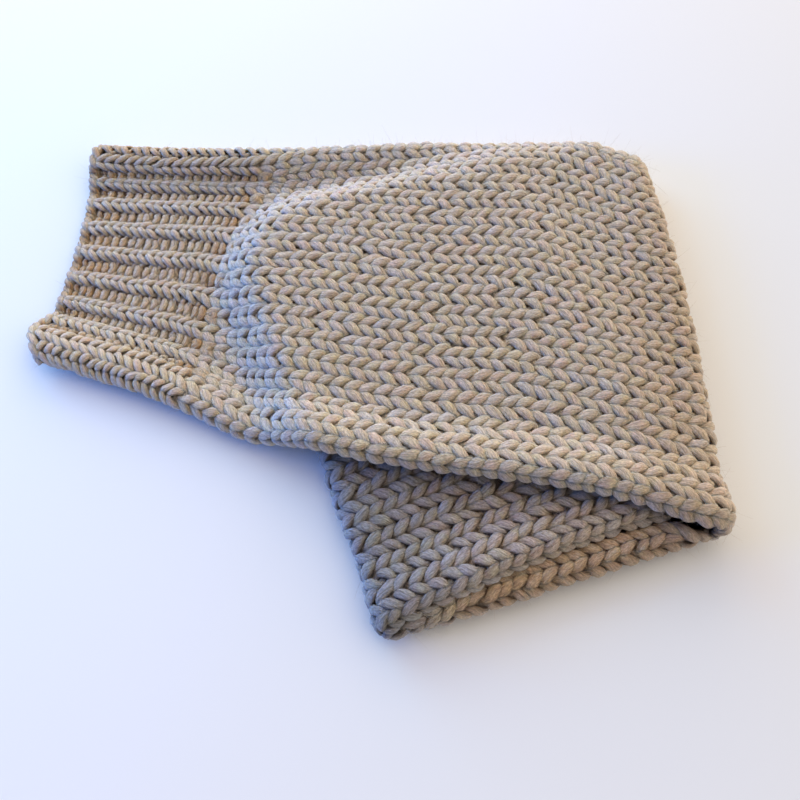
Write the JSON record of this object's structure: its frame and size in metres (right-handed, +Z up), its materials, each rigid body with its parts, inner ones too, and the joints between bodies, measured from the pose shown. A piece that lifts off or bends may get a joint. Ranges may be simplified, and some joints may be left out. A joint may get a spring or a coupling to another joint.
{
  "type": "knit scarf",
  "caption": "Chunky knit scarf with a ribbed end, folded in three and laid flat.",
  "frame": {"origin": "centre of the bounding box in plan, at the level of the surface it lies on", "axes": "+X along the folded scarf from the ribbed end to the right fold, +Y towards its back edge, +Z up"},
  "size_m": [0.3335, 0.2719, 0.0321],
  "materials": {
    "yarn": "matt heathered wool, plied"
  },
  "bodies": {
    "root": {"ribbed_end": "yarn", "top_stretch": "yarn", "right_fold": "yarn", "bottom_stretch": "yarn", "left_fold": "yarn", "middle_stretch": "yarn"}
  },
  "joints": []
}
